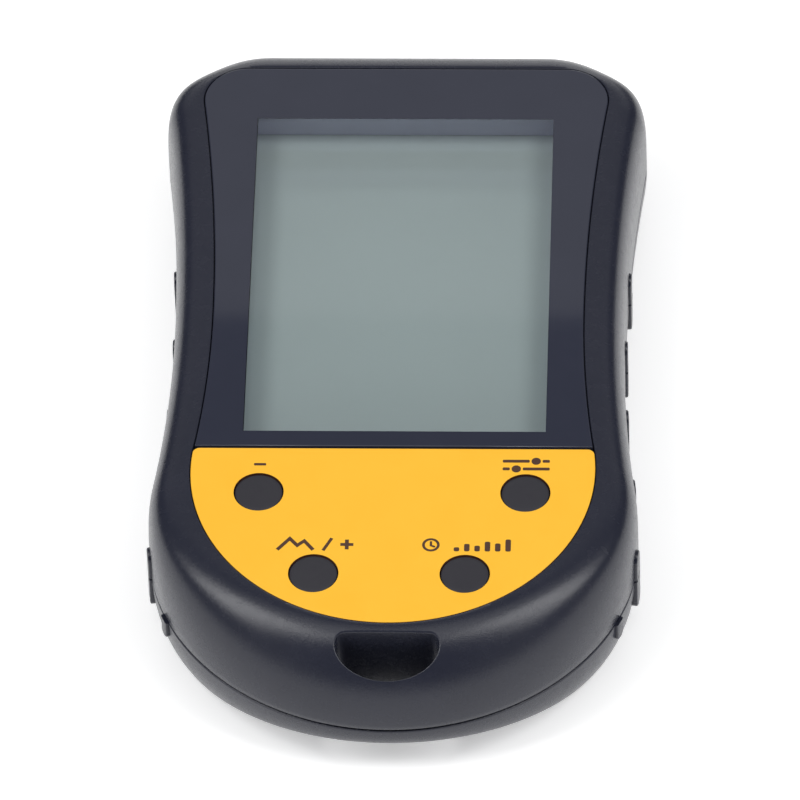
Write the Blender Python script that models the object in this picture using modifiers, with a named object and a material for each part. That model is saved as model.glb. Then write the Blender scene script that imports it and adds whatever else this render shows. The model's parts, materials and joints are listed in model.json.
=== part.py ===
"""Handheld outdoor instrument, screen up on its back: +X right, +Y away from the lanyard end, +Z out of the screen.

The origin is at the middle of the footprint, on the flat back. Every size below is in millimetres and is
turned into metres when its mesh is made.
"""

from math import asin, atan, atan2, cos, pi, radians, sin, sqrt

import bmesh
import bpy
from mathutils import Matrix, Vector

MM = 0.001

# The case: a waisted outline, two halves that meet at the parting plane
THICKNESS = 20.8
PARTING_Z = 8.8
PARTING_GAP = 0.3
WALL = 1.9
FAR_Y = 56.35
NEAR_Y = -58.25
SIDE_RIM = 5.3  # width of the rounded rim between the flat front and the widest line
FAR_RIM = 6.65
NEAR_RIM = 8.55
RIM_SQUARENESS = 2.5  # added at the sides to the power of 2 that makes the rim's section an ellipse
BACK_ROUND_SIDE = 2.8  # how far the rear shell draws in between the parting plane and the flat back
BACK_ROUND_FAR = 5.0
BACK_ROUND_NEAR = 8.85
BACK_ROUND_HEIGHT = 8.4
SWEEP_Y = -42.5  # where the flat back ends and the slope up to the lanyard end starts
SWEEP_SLOPE = 0.36
SWEEP_BLEND = 1.2
WAIST = {"half": 30.1, "y": 4.5, "far_radius": 290, "near_radius": 200}
SHOULDER_Y = 40.8  # where the side arc turns into the far corner
HIP_Y = -23.2  # where the side arc turns into the hip
HIP_RADIUS = 28.7

# Grip ribs across the parting line
RIB_PITCH = 12.35
RIB_FIRST_Y = 18.45
RIBS_PER_SIDE = 5
RIB_WIDTH = 2.6
RIB_PROUD = 0.35
RIB_TOP = 13.2
RIB_BOTTOM = 3.2
REAR_RIB_Y = -38.9  # one more, a short one on the rear shell only
REAR_RIB_WIDTH = 1.8
REAR_RIB_BOTTOM = 5.5

# The window and what lies under it
WINDOW = {"half": 24.72, "y": 4.0, "far_radius": 293, "near_radius": 166}
WINDOW_FAR_Y = 49.6
WINDOW_SHOULDER_Y = 43.0
WINDOW_NEAR_Y = -19.2
SEAM = 0.25
WINDOW_SEAT_Z = 19.0
WINDOW_BOTTOM_Z = 19.3
DECK_BOTTOM_Z = 17.6
SCREEN_HALF = 20.9
SCREEN_Y = (-16.6, 42.2)
SCREEN_TOP_Z = 15.8
SKIRT_WALL = 1.1

# The yellow panel and its keys
PANEL_RADIUS = 26.7
PANEL_Y = -23.2
PANEL_FAR_Y = -19.45
PANEL_SEAT_Z = 20.0
KEY_RADIUS = 3.1
KEY_HOLE_RADIUS = 3.3
KEY_FLANGE_RADIUS = 4.0
KEY_TOP_Z = 20.75
KEY_BOTTOM_Z = 16.9
KEYS = {
    "minus": (-17.53, -27.25),
    "set": (17.53, -27.25),
    "plus": (-9.9, -41.4),
    "history": (9.9, -41.4),
}

# The lanyard slot, a D through both halves
SLOT_FAR_Y = -51.25
SLOT_MID_Y = -52.6
SLOT_NEAR_Y = -56.2
SLOT_HALF = 6.8
SLOT_WALL = 1.2

# The battery bay and its door
CELL_RADIUS = 5.25
CELL_LENGTH = 44.5
CELL_Z = 7.25
CELL_Y = (-34.2, -23.2)
BAY_HALF = 24.8
BAY_Y = (-39.7, -17.7)
BAY_CHAMFER = 2.0
BAY_ROOF_Z = 12.6
BAY_WALL = 1.2
DOOR_LEDGE = 1.0
DOOR_GAP = 0.25
DOOR_Z = (0.25, 1.65)
DOOR_HINGE_GAP = 0.6  # wider than DOOR_GAP, so that the door's edge swings clear of the shell
HINGE_Y = -15.8
HINGE_Z = 1.0
LUG_X = 14
LUG_LENGTH = 6
PIN_RADIUS = 0.45
PIN_LENGTH = 8.4
SOCKET_RADIUS = 0.6
SOCKET_LENGTH = 9.0

BOARD_Z = (13.0, 14.0)
KEY_BOARD_Z = (14.1, 15.1)
CASE_SCREWS = {1: (-23.6, 48.0), 2: (23.6, 48.0), 3: (-15.0, -46.9), 4: (15.0, -46.9)}
BOARD_SCREWS = {"left": (-25.3, 6.0), "right": (25.3, 6.0)}

COLOURS = {
    "shell": ((0.062, 0.066, 0.088), 0.55, 0.0),
    "window": ((0.035, 0.037, 0.042), 0.08, 0.0),
    "panel": ((0.95, 0.52, 0.055), 0.5, 0.0),
    "key": ((0.047, 0.046, 0.054), 0.5, 0.0),
    "screen": ((0.25, 0.30, 0.29), 0.2, 0.0),
    "tape": ((0.02, 0.02, 0.02), 0.8, 0.0),
    "rubber": ((0.05, 0.05, 0.055), 0.8, 0.0),
    "board": ((0.02, 0.12, 0.06), 0.45, 0.0),
    "chip": ((0.015, 0.015, 0.017), 0.5, 0.0),
    "film": ((0.75, 0.78, 0.72), 0.5, 0.0),
    "steel": ((0.60, 0.61, 0.62), 0.3, 1.0),
    "ceramic": ((0.78, 0.74, 0.62), 0.4, 0.0),
    "cell": ((0.10, 0.12, 0.15), 0.35, 0.4),
    "screw": ((0.22, 0.22, 0.23), 0.35, 1.0),
}


def clear_scene():
    for obj in list(bpy.data.objects):
        bpy.data.objects.remove(obj, do_unlink=True)


def collection(name, hidden=False):
    made = bpy.data.collections.new(name)
    bpy.context.scene.collection.children.link(made)
    made.hide_render = hidden
    return made


def material(name):
    made = bpy.data.materials.get(name)
    if made is None:
        colour, roughness, metallic = COLOURS[name]
        made = bpy.data.materials.new(name)
        made.use_nodes = True
        shader = made.node_tree.nodes["Principled BSDF"]
        shader.inputs["Base Color"].default_value = (*colour, 1)
        shader.inputs["Roughness"].default_value = roughness
        shader.inputs["Metallic"].default_value = metallic
        made.diffuse_color = (*colour, 1)
    return made


def solid(name, bm, finish=None, at=(0, 0, 0)):
    """An object from a bmesh drawn in millimetres round its own origin. With no finish it is a cutter."""
    bmesh.ops.recalc_face_normals(bm, faces=bm.faces)
    bmesh.ops.scale(bm, vec=(MM, MM, MM), verts=bm.verts)
    mesh = bpy.data.meshes.new(name)
    bm.to_mesh(mesh)
    bm.free()
    obj = bpy.data.objects.new(name, mesh)
    obj.location = Vector(at) * MM
    if finish:
        mesh.materials.append(material(finish))
        PARTS.objects.link(obj)
    else:
        CUTTERS.objects.link(obj)
        obj.hide_render = True
        obj.display_type = "WIRE"
    return obj


def boolean(target, other, operation):
    made = target.modifiers.new(f"{operation.lower()}_{other.name}", "BOOLEAN")
    made.operation = operation
    made.solver = "EXACT"
    made.object = other


def cut(target, *others):
    for other in others:
        boolean(target, other, "DIFFERENCE")


def join(target, *others):
    for other in others:
        boolean(target, other, "UNION")


def bevel(obj, width, segments=2, angle=40):
    made = obj.modifiers.new("bevel", "BEVEL")
    made.width = width * MM
    made.segments = segments
    made.limit_method = "ANGLE"
    made.angle_limit = radians(angle)


def shade(obj, angle=35):
    obj.data.shade_smooth()
    obj.data.set_sharp_from_angle(angle=radians(angle))


# Outlines: lists of (x, y), anticlockwise


def arc(centre, radius, start, end, steps):
    """Points along an arc, without its last one."""
    turn = (end - start) / steps
    return [
        (centre[0] + radius * cos(start + turn * i), centre[1] + radius * sin(start + turn * i))
        for i in range(steps)
    ]


def side_x(waist, y):
    radius = waist["far_radius"] if y > waist["y"] else waist["near_radius"]
    return waist["half"] + (y - waist["y"]) ** 2 / (2 * radius)


def side(waist, start, end, steps):
    """Points down the waisted right-hand side, without the last one."""
    heights = [start + (end - start) * i / steps for i in range(steps)]
    return [(side_x(waist, y), y) for y in heights]


def far_corner(waist, shoulder_y, far_y, steps):
    """The arc from the straight far edge to the side, tangent to both."""
    lean = atan((shoulder_y - waist["y"]) / waist["far_radius"])
    radius = (far_y - shoulder_y) / (1 + sin(lean))
    centre = (side_x(waist, shoulder_y) - radius * cos(lean), shoulder_y + radius * sin(lean))
    return arc(centre, radius, pi / 2, -lean, steps)


def hip_centre():
    """The centre of the hip arc, and the angle at which it leaves the side."""
    lean = atan((WAIST["y"] - HIP_Y) / WAIST["near_radius"])
    centre = (side_x(WAIST, HIP_Y) - HIP_RADIUS * cos(lean), HIP_Y - HIP_RADIUS * sin(lean))
    return centre, lean


def near_end(hip_steps, end_steps):
    """The hip arc and the end arc that follow the side, tangent to it and to each other."""
    hip, lean = hip_centre()
    reach = -NEAR_Y - HIP_RADIUS
    end_y = (hip[0] ** 2 + hip[1] ** 2 - reach**2) / (2 * reach + 2 * hip[1])
    join_angle = atan2(hip[1] - end_y, hip[0])
    return arc(hip, HIP_RADIUS, lean, join_angle, hip_steps) + arc(
        (0, end_y), end_y - NEAR_Y, join_angle, -pi / 2, end_steps
    )


def mirrored(right):
    """A closed outline from its right-hand half, which runs from the far edge down to the near one."""
    left = [(-x, y) for x, y in reversed(right) if abs(x) > 1e-6]
    return (right + left)[::-1]


def body_outline():
    right = (
        [(0, FAR_Y)]
        + far_corner(WAIST, SHOULDER_Y, FAR_Y, 9)
        + side(WAIST, SHOULDER_Y, HIP_Y, 12)
        + near_end(3, 9)
        + [(0, NEAR_Y)]
    )
    return mirrored(right)


def window_outline(grow):
    right = (
        [(0, WINDOW_FAR_Y)]
        + far_corner(WINDOW, WINDOW_SHOULDER_Y, WINDOW_FAR_Y, 6)
        + side(WINDOW, WINDOW_SHOULDER_Y, WINDOW_NEAR_Y, 10)
        + [(side_x(WINDOW, WINDOW_NEAR_Y), WINDOW_NEAR_Y), (0, WINDOW_NEAR_Y)]
    )
    return inset(mirrored(right), -grow)


def panel_outline(grow):
    start = asin((PANEL_FAR_Y - PANEL_Y) / PANEL_RADIUS)
    right = (
        [(0, PANEL_FAR_Y), (PANEL_RADIUS * cos(start) - 0.7, PANEL_FAR_Y)]
        + arc((0, PANEL_Y), PANEL_RADIUS, start - 0.04, -pi / 2, 16)
        + [(0, PANEL_Y - PANEL_RADIUS)]
    )
    return inset(mirrored(right), -grow)


def slot_outline(grow):
    depth = SLOT_MID_Y - SLOT_NEAR_Y
    near = [
        (SLOT_HALF * cos(pi + pi * i / 12), SLOT_MID_Y + depth * sin(pi + pi * i / 12))
        for i in range(13)
    ]
    corner = [(SLOT_HALF - 0.4, SLOT_MID_Y + 0.95), (SLOT_HALF - 1.35, SLOT_FAR_Y)]
    return inset(near + corner + [(-x, y) for x, y in reversed(corner)], -grow)


def rectangle(half_x, low_y, high_y):
    return [(-half_x, low_y), (half_x, low_y), (half_x, high_y), (-half_x, high_y)]


def bay_outline(grow):
    """The battery bay, with its two near corners cut off to clear the rounded end."""
    (low_y, high_y), half = BAY_Y, BAY_HALF
    near = [(half - BAY_CHAMFER, low_y), (half, low_y + BAY_CHAMFER), (half, high_y)]
    return inset(near + [(-x, y) for x, y in reversed(near)], -grow)


def edge_normal(start, end):
    run, rise = end[0] - start[0], end[1] - start[1]
    return Vector((rise, -run)).normalized()


def inset(points, amount):
    """The outline moved in by an amount, or by a function of the unit normal, with mitred corners."""
    moved = []
    for i, (x, y) in enumerate(points):
        before = edge_normal(points[i - 1], (x, y))
        after = edge_normal((x, y), points[(i + 1) % len(points)])
        normal = (before + after).normalized()
        by = amount(*normal) if callable(amount) else amount
        by /= normal.dot(after)
        moved.append((x - normal.x * by, y - normal.y * by))
    return moved


def rim_width(nx, ny):
    return SIDE_RIM * nx**2 + (FAR_RIM if ny > 0 else NEAR_RIM) * ny**2


def rim_share(rise, nx):
    """The share of the rim drawn in at a share of its height: elliptic at the ends, squarer at the sides."""
    power = 2 + RIM_SQUARENESS * nx**8
    return 1 - (1 - rise**power) ** (1 / power)


def back_round(nx, ny):
    return BACK_ROUND_SIDE * nx**2 + (BACK_ROUND_FAR if ny > 0 else BACK_ROUND_NEAR) * abs(ny) ** 3


def back_inset(z):
    """How far the rear shell draws in at a height, as a function of the unit normal."""
    width = 1 - sqrt(1 - min(1, max(0, 1 - z / BACK_ROUND_HEIGHT)) ** 2)
    return lambda nx, ny: back_round(nx, ny) * width


def swept(z, above=0):
    """The height at y of a ring at z, lifted where needed to stay above the slope of the back."""

    def height(y):
        slope = SWEEP_SLOPE * (SWEEP_Y - y) + above
        return max(z, slope) + max(0, SWEEP_BLEND - abs(z - slope)) ** 2 / (4 * SWEEP_BLEND)

    return height


def floor_rings(outline, amount, z, above=0):
    """Rings at one level that close in until the innermost lies clear of the slope, innermost first."""
    rings = []
    for share in (1, 0.65, 0.3):
        ring = inset(outline, lambda nx, ny: amount(nx, ny) + share * (1.5 + 12 * min(0, ny) ** 2))
        rings.append((ring, swept(z, above)))
    return rings


# Solids


def loft(name, rings, finish=None):
    """A closed solid through rings of equal count, each (outline, z or z of y), from the bottom up."""
    bm = bmesh.new()
    loops = [
        [bm.verts.new((x, y, z(y) if callable(z) else z)) for x, y in outline] for outline, z in rings
    ]
    for low, high in zip(loops, loops[1:]):
        for i in range(len(low)):
            j = (i + 1) % len(low)
            bm.faces.new((low[i], low[j], high[j], high[i]))
    bm.faces.new(loops[0][::-1])
    bm.faces.new(loops[-1])
    return solid(name, bm, finish)


def slab(name, outline, low_z, high_z, finish=None, at=(0, 0, 0)):
    """A flat outline extruded between two heights."""
    bm = bmesh.new()
    face = bm.faces.new([bm.verts.new((x, y, low_z)) for x, y in outline])
    raised = bmesh.ops.extrude_face_region(bm, geom=[face])["geom"]
    points = [v for v in raised if isinstance(v, bmesh.types.BMVert)]
    bmesh.ops.translate(bm, vec=(0, 0, high_z - low_z), verts=points)
    return solid(name, bm, finish, at)


def block(name, low, high, finish=None):
    """A box between two corners, with its origin at its middle."""
    bm = bmesh.new()
    bmesh.ops.create_cube(bm, size=1)
    bmesh.ops.scale(bm, vec=[h - l for l, h in zip(low, high)], verts=bm.verts)
    return solid(name, bm, finish, [(l + h) / 2 for l, h in zip(low, high)])


def post(name, x, y, radius, low_z, high_z, finish=None, steps=20):
    bm = bmesh.new()
    bmesh.ops.create_cone(
        bm, cap_ends=True, segments=steps, radius1=radius, radius2=radius, depth=high_z - low_z
    )
    return solid(name, bm, finish, (x, y, (low_z + high_z) / 2))


def rod(name, x, radius, length):
    """A cutter along the door's hinge axis."""
    bm = bmesh.new()
    bmesh.ops.create_cone(bm, cap_ends=True, segments=24, radius1=radius, radius2=radius, depth=length)
    bmesh.ops.rotate(bm, matrix=Matrix.Rotation(pi / 2, 3, "Y"), verts=bm.verts)
    return solid(name, bm, at=(x, HINGE_Y, HINGE_Z))


def turned(name, profile, finish, at, along="Z", steps=24):
    """A profile of (radius, height) points, top to bottom, turned about its own Z axis."""
    bm = bmesh.new()
    points = [bm.verts.new((radius, 0, height)) for radius, height in profile]
    for a, b in zip(points, points[1:]):
        bm.edges.new((a, b))
    obj = solid(name, bm, finish, at)
    if along == "X":
        obj.rotation_euler = (0, pi / 2, 0)
    screw = obj.modifiers.new("screw", "SCREW")
    screw.steps = screw.render_steps = steps
    screw.use_merge_vertices = True
    screw.merge_threshold = 1e-6
    screw.use_smooth_shade = True
    return obj


# The case


def rib_place(y):
    """(x, y, angle of the outward normal) of a right-hand rib, on the outline at the parting plane."""
    hip, _ = hip_centre()
    if y > HIP_Y:
        radius = WAIST["far_radius"] if y > WAIST["y"] else WAIST["near_radius"]
        return side_x(WAIST, y), y, (WAIST["y"] - y) / radius
    angle = asin((y - hip[1]) / HIP_RADIUS)
    return hip[0] + HIP_RADIUS * cos(angle), y, angle


def rib(name, place, width, flip, low_z, high_z):
    """A bar with a rounded end, standing RIB_PROUD out of the wall and reaching into it."""
    x, y, angle = place
    bm = bmesh.new()
    reach = 1.3
    half = width / 2
    upward = high_z > PARTING_Z + 1
    centre_z = high_z - half if upward else low_z + half
    flat_z = low_z if upward else high_z
    turn = 1 if upward else -1
    rounded = [(half * cos(pi * i / 6), centre_z + turn * half * sin(pi * i / 6)) for i in range(7)]
    section = [(half, flat_z)] + rounded + [(-half, flat_z)]
    face = bm.faces.new([bm.verts.new((-reach, across, z)) for across, z in section])
    raised = bmesh.ops.extrude_face_region(bm, geom=[face])["geom"]
    points = [v for v in raised if isinstance(v, bmesh.types.BMVert)]
    bmesh.ops.translate(bm, vec=(reach + RIB_PROUD, 0, 0), verts=points)
    bmesh.ops.rotate(bm, matrix=Matrix.Rotation(angle, 3, "Z"), verts=bm.verts)
    bmesh.ops.translate(bm, vec=(x, y, 0), verts=bm.verts)
    if flip:
        bmesh.ops.scale(bm, vec=(-1, 1, 1), verts=bm.verts)
    return solid(name, bm)


def add_ribs(shell, low_z, high_z, places=None, width=RIB_WIDTH):
    for y in places or [RIB_FIRST_Y - RIB_PITCH * k for k in range(RIBS_PER_SIDE)]:
        for flip in (False, True):
            name = f"{shell.name}_rib_{abs(y):.0f}_{'left' if flip else 'right'}"
            join(shell, rib(name, rib_place(y), width, flip, low_z, high_z))


def make_front_shell():
    outline = body_outline()
    low_z = PARTING_Z + PARTING_GAP / 2
    rings = [(outline, low_z)]
    for step in range(1, 9):
        rise = sin(pi / 2 * step / 8)
        ring = inset(outline, lambda nx, ny: rim_width(nx, ny) * rim_share(rise, nx))
        rings.append((ring, PARTING_Z + (THICKNESS - PARTING_Z) * rise))
    shell = loft("front_shell", rings, "shell")

    room = loft(
        "front_room",
        [
            (inset(outline, WALL), PARTING_Z - 1),
            (inset(outline, WALL + 0.1), 12.5),
            (inset(outline, WALL + 1.4), 15.8),
            (inset(outline, WALL + 3.1), DECK_BOTTOM_Z),
        ],
    )
    skirt = slab(
        "skirt",
        rectangle(SCREEN_HALF + SKIRT_WALL, SCREEN_Y[0] - SKIRT_WALL, SCREEN_Y[1] + SKIRT_WALL),
        SCREEN_TOP_Z + 0.15,
        DECK_BOTTOM_Z + 1,
    )
    cut(room, skirt, slab("slot_tube_front", slot_outline(SLOT_WALL), 0, THICKNESS))
    for k, (x, y) in CASE_SCREWS.items():
        cut(room, post(f"front_boss_{k}", x, y, 2.7, 0, THICKNESS, steps=16))
    for name, (x, y) in BOARD_SCREWS.items():
        cut(room, post(f"board_boss_{name}", x, y, 1.9, BOARD_Z[1] + 0.1, THICKNESS, steps=16))

    cut(
        shell,
        room,
        slab("window_recess", window_outline(SEAM / 2), WINDOW_SEAT_Z, THICKNESS + 1),
        slab("panel_recess", panel_outline(SEAM / 2), PANEL_SEAT_Z, THICKNESS + 1),
        slab("screen_opening", rectangle(SCREEN_HALF, *SCREEN_Y), 10, THICKNESS + 1),
        slab("slot_front", slot_outline(0), 0, THICKNESS + 1),
    )
    for name, (x, y) in KEYS.items():
        cut(shell, post(f"key_hole_{name}", x, y, KEY_HOLE_RADIUS, 10, THICKNESS + 1))
    for k, (x, y) in CASE_SCREWS.items():
        cut(shell, post(f"front_pilot_{k}", x, y, 1.15, 0, 14.4, steps=12))
    for name, (x, y) in BOARD_SCREWS.items():
        cut(shell, post(f"board_pilot_{name}", x, y, 1.0, 0, 17.2, steps=12))
    add_ribs(shell, low_z, RIB_TOP)
    shade(shell)


def make_rear_shell():
    outline = body_outline()
    high_z = PARTING_Z - PARTING_GAP / 2
    rings = floor_rings(outline, back_round, 0)
    for step in (5, 4, 3, 2, 1, 0):
        z = BACK_ROUND_HEIGHT * (1 - sin(radians(18 * step)))
        rings.append((inset(outline, back_inset(z)), swept(z)))
    rings.append((outline, high_z))
    shell = loft("rear_shell", rings, "shell")

    rings = []
    for z in (WALL - 0.1, 3.2, 5.0, 7.0):
        outside = back_inset(z - 1.5)
        amount = lambda nx, ny: outside(nx, ny) + WALL - 0.3
        if not rings:
            rings = floor_rings(outline, amount, z, WALL)
        rings.append((inset(outline, amount), swept(z, WALL)))
    room = loft("rear_room", rings + [(inset(outline, WALL), PARTING_Z + 1)])
    cut(room, slab("slot_tube_rear", slot_outline(SLOT_WALL), -1, THICKNESS))
    for k, (x, y) in CASE_SCREWS.items():
        cut(room, post(f"rear_boss_{k}", x, y, 3.0, -1, THICKNESS, steps=16))
    cut(shell, room)
    join(shell, slab("bay_block", bay_outline(BAY_WALL), 1.2, BAY_ROOF_Z + BAY_WALL))
    cut(
        shell,
        slab("bay_room", bay_outline(0), -1, BAY_ROOF_Z),
        slab("door_room", bay_outline(DOOR_LEDGE), -1, WALL),
        slab("slot_rear", slot_outline(0), -1, THICKNESS),
        post("vent", 0, 34, 0.8, -1, 3, steps=10),
    )
    for x in (-LUG_X, LUG_X):
        half = LUG_LENGTH / 2 + 0.4
        low = (x - half, BAY_Y[1] - 1, -1)
        cut(
            shell,
            block(f"lug_room_{x}", low, (x + half, HINGE_Y + 1.1, 2.1)),
            rod(f"pin_socket_{x}", x, SOCKET_RADIUS, SOCKET_LENGTH),
        )
    for k, (x, y) in CASE_SCREWS.items():
        cut(
            shell,
            post(f"rear_pilot_{k}", x, y, 1.3, -1, THICKNESS, steps=12),
            post(f"rear_counterbore_{k}", x, y, 2.3, -1, 3.0, steps=16),
        )
    add_ribs(shell, RIB_BOTTOM, high_z)
    add_ribs(shell, REAR_RIB_BOTTOM, high_z, [REAR_RIB_Y], REAR_RIB_WIDTH)
    shade(shell)


# What shows on the front


def make_window():
    window = slab("display_window", window_outline(-SEAM / 2), WINDOW_BOTTOM_Z, THICKNESS, "window")
    tape = slab("window_tape", window_outline(-0.7), WINDOW_SEAT_Z + 0.05, WINDOW_BOTTOM_Z - 0.05, "tape")
    hole = rectangle(SCREEN_HALF, *SCREEN_Y)
    cut(tape, slab("tape_hole", hole, WINDOW_SEAT_Z - 1, THICKNESS))
    bevel(window, 0.15, 1)


def make_panel():
    panel = slab("key_panel", panel_outline(-SEAM / 2), PANEL_SEAT_Z + 0.1, THICKNESS, "panel")
    for name, (x, y) in KEYS.items():
        cut(panel, post(f"panel_hole_{name}", x, y, KEY_HOLE_RADIUS, 10, THICKNESS + 1, steps=32))


def make_keys():
    top, bottom = KEY_TOP_Z - KEY_BOTTOM_Z, 0
    profile = [
        (0, top),
        (KEY_RADIUS - 0.9, top - 0.05),
        (KEY_RADIUS - 0.2, top - 0.15),
        (KEY_RADIUS, top - 0.4),
        (KEY_RADIUS, 0.55),
        (KEY_FLANGE_RADIUS, 0.55),
        (KEY_FLANGE_RADIUS, bottom),
        (0, bottom),
    ]
    for name, (x, y) in KEYS.items():
        turned(f"key_{name}", profile, "key", (x, y, KEY_BOTTOM_Z), steps=28)


# What is inside, from the front to the back


def make_key_electronics():
    board = slab("key_board", rectangle(22, -43.9, -20.5), *KEY_BOARD_Z, "board")
    bevel(board, 0.3, 1)
    slab("keypad_mat", rectangle(21.5, -43.9, -22.6), KEY_BOARD_Z[1] + 0.9, KEY_BOARD_Z[1] + 1.2, "rubber")
    for name, (x, y) in KEYS.items():
        low, high = KEY_BOARD_Z[1] + 0.05, KEY_BOARD_Z[1] + 0.6
        switch = block(f"switch_{name}", (x - 2.2, y - 2.2, low), (x + 2.2, y + 2.2, high), "steel")
        join(switch, post(f"plunger_{name}", x, y, 1.0, high - 0.2, high + 0.2, steps=16))
        bevel(switch, 0.1, 1)


def make_screen():
    low = SCREEN_TOP_Z - 1.05
    glass = block("lcd_panel", (-22.6, -18.2, low), (22.6, 43.8, SCREEN_TOP_Z), "screen")
    bevel(glass, 0.2, 1)
    light = block("backlight_panel", (-21.8, -13.9, BOARD_Z[1] + 0.1), (21.8, 41.4, low - 0.1), "film")
    bevel(light, 0.1, 1)
    for name, y in (("near", -15.2), ("far", 43.0)):
        bottom = (-19, y - 0.6, BOARD_Z[1] + 0.05)
        bevel(block(f"zebra_strip_{name}", bottom, (19, y + 0.6, low - 0.05), "rubber"), 0.1, 1)


def make_main_board():
    board = slab("main_board", rectangle(27.0, -16.1, 45.2), *BOARD_Z, "board")
    for name, (x, y) in BOARD_SCREWS.items():
        cut(board, post(f"board_hole_{name}", x, y, 1.2, 10, 16, steps=12))
    bevel(board, 0.3, 1)
    under = BOARD_Z[0] - 0.05
    chips = {
        "processor": (-14, -9, -4, 1, 1.4),
        "gps_receiver": (-6, 22, 6, 34, 2.4),
        "compass_sensor": (9, 8, 13, 12, 1.0),
        "memory_chip": (2, -9, 8, -4, 1.2),
        "clock_crystal": (-16, 8, -13, 15, 1.5),
    }
    for name, (x0, y0, x1, y1, height) in chips.items():
        finish = "steel" if name in ("gps_receiver", "clock_crystal") else "chip"
        chip = block(name, (x0, y0, under - height), (x1, y1, under), finish)
        bevel(chip, 0.25, 1)
    profile = [(0, 0), (0.6, 0), (3.0, 0), (3.0, -1.7), (2.6, -1.9), (0, -1.9)]
    turned("pressure_sensor", profile, "steel", (-10, 30, under), steps=24)
    profile = [(0, 0), (6.0, 0), (6.0, -2.6), (5.6, -3.0), (0, -3.0)]
    turned("buzzer", profile, "chip", (16, 30, under), steps=24)


def make_antenna():
    patch = block("gps_antenna", (-8, 45.9, 12.0), (8, 51.9, 16.0), "ceramic")
    bevel(patch, 0.3, 1)


def make_vent():
    profile = [(0, 0.25), (2.4, 0.25), (2.4, 0), (0, 0)]
    turned("vent_membrane", profile, "film", (0, 34, WALL - 0.05), steps=20)


# Power


def make_cells():
    half = CELL_LENGTH / 2
    nub = 1.0
    profile = [
        (0, half),
        (1.9, half),
        (1.9, half - nub),
        (CELL_RADIUS - 0.6, half - nub),
        (CELL_RADIUS, half - nub - 0.6),
        (CELL_RADIUS, -half + 0.5),
        (CELL_RADIUS - 0.5, -half),
        (0, -half),
    ]
    for name, y, way in (("near", CELL_Y[0], 1), ("far", CELL_Y[1], -1)):
        cell = turned(f"battery_{name}", profile, "cell", (0, y, CELL_Z), steps=24)
        cell.rotation_euler = (0, way * pi / 2, 0)


def make_contacts():
    """A coil for each cell's flat end and a plate for its nub, at opposite ends of the bay."""
    end = CELL_LENGTH / 2
    for name, y, way in (("near", CELL_Y[0], -1), ("far", CELL_Y[1], 1)):
        coil(f"contact_spring_{name}", (way * (end + 0.35), y, CELL_Z), way)
        edge = -way * (end + 0.25)
        outer = -way * (end + 0.75)
        low = (min(edge, outer), y - 3.5, CELL_Z - 3.5)
        plate = block(f"contact_plate_{name}", low, (max(edge, outer), y + 3.5, CELL_Z + 3.5), "steel")
        bevel(plate, 0.1, 1)


def coil(name, start, way):
    """A cone-shaped wire spring that widens from the cell to the wall of the bay."""
    turns, per_turn, length, wire = 2.5, 12, BAY_HALF - CELL_LENGTH / 2 - 0.9, 0.25
    count = int(turns * per_turn)
    curve = bpy.data.curves.new(name, "CURVE")
    curve.dimensions = "3D"
    curve.bevel_depth = wire * MM
    curve.bevel_resolution = 2
    curve.use_fill_caps = True
    spline = curve.splines.new("POLY")
    spline.points.add(count)
    for i, point in enumerate(spline.points):
        share = i / count
        radius = 1.8 + 1.9 * share
        angle = 2 * pi * turns * share
        place = (way * length * share, radius * cos(angle), radius * sin(angle))
        point.co = (*(MM * value for value in place), 1)
    obj = bpy.data.objects.new(name, curve)
    obj.location = Vector(start) * MM
    curve.materials.append(material("steel"))
    PARTS.objects.link(obj)


def make_door():
    """The door turns on a pin through each of its two lugs. Its origin is on the hinge axis."""
    low_z, high_z = DOOR_Z
    hinge_edge = BAY_Y[1] + DOOR_LEDGE - DOOR_HINGE_GAP
    outline = [(x, min(y, hinge_edge) - HINGE_Y) for x, y in bay_outline(DOOR_LEDGE - DOOR_GAP)]
    place = (0, HINGE_Y, HINGE_Z)
    door = slab("battery_door", outline, low_z - HINGE_Z, high_z - HINGE_Z, "shell", place)
    for x in (-LUG_X, LUG_X):
        low = (x - LUG_LENGTH / 2, hinge_edge - 0.7, low_z + 0.15)
        lug = block(f"lug_{x}", low, (x + LUG_LENGTH / 2, HINGE_Y + 0.6, high_z - 0.05))
        join(door, lug, rod(f"pin_{x}", x, PIN_RADIUS, PIN_LENGTH))
    grip = block("door_grip", (-6, BAY_Y[0] + 1.5, -1), (6, BAY_Y[0] + 4, low_z + 0.5))
    cut(door, grip)


# Fasteners


def screw(name, x, y, low_z, head_radius, head_height, shank_radius, length):
    """A pan-head screw driven upwards, with a cross in its head."""
    profile = [
        (0, head_height + length),
        (shank_radius - 0.25, head_height + length),
        (shank_radius, head_height + length - 0.4),
        (shank_radius, head_height),
        (head_radius, head_height),
        (head_radius, 0.3),
        (head_radius - 0.3, 0),
        (0, 0),
    ]
    made = turned(name, profile, "screw", (x, y, low_z), steps=16)
    arm, width, depth = head_radius * 0.6, 0.25, 0.6 * head_height
    for turn, (dx, dy) in enumerate(((arm, width), (width, arm))):
        cut(made, block(f"{name}_cross_{turn}", (x - dx, y - dy, low_z - 1), (x + dx, y + dy, low_z + depth)))


def make_screws():
    for k, (x, y) in CASE_SCREWS.items():
        screw(f"case_screw_{k}", x, y, 1.4, 1.9, 1.3, 0.85, 11)
    for name, (x, y) in BOARD_SCREWS.items():
        screw(f"board_screw_{name}", x, y, BOARD_Z[0] - 1.1, 1.7, 0.9, 0.75, 4.4)


clear_scene()
PARTS = collection("handheld_instrument")
CUTTERS = collection("cutters", hidden=True)
make_front_shell()
make_rear_shell()
make_window()
make_panel()
make_keys()
make_key_electronics()
make_screen()
make_main_board()
make_antenna()
make_vent()
make_cells()
make_contacts()
make_door()
make_screws()
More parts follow.
